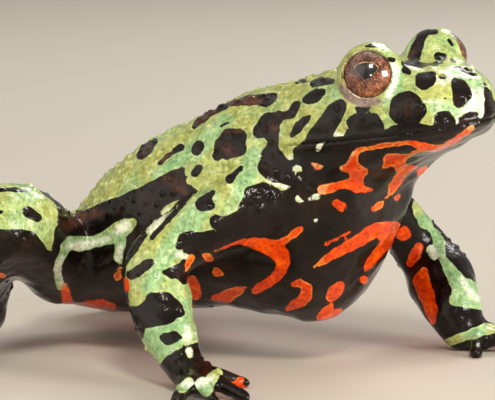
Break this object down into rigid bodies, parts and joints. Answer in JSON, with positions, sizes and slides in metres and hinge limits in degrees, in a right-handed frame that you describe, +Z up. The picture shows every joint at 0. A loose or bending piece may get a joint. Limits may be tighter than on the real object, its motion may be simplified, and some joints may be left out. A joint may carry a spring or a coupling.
{
  "type": "fire-bellied toad",
  "caption": "Still life-size model of a fire-bellied toad sitting up on its forelegs, green and black above with an orange and black underside.",
  "frame": {"origin": "middle of the floor of the whole toad's bounding box, on the surface that it sits on", "axes": "+X the way the toad faces, +Y its left, which is its longest extent from foot to foot, +Z up"},
  "size_m": [0.0542, 0.0626, 0.0329],
  "materials": {
    "skin": "wet warty skin, yellow green with black blotches above, orange and black below",
    "eye": "wet cornea over a copper iris and a dark pupil with a gold rim"
  },
  "bodies": {
    "root": {"head": "skin", "lower_jaw": "skin", "torso": "skin", "upper_arm_left": "skin", "upper_arm_right": "skin", "forearm_left": "skin", "forearm_right": "skin", "hand_left": "skin", "hand_right": "skin", "thigh_left": "skin", "thigh_right": "skin", "shank_left": "skin", "shank_right": "skin", "foot_left": "skin", "foot_right": "skin", "eye_left": "eye", "eye_right": "eye"}
  },
  "joints": []
}
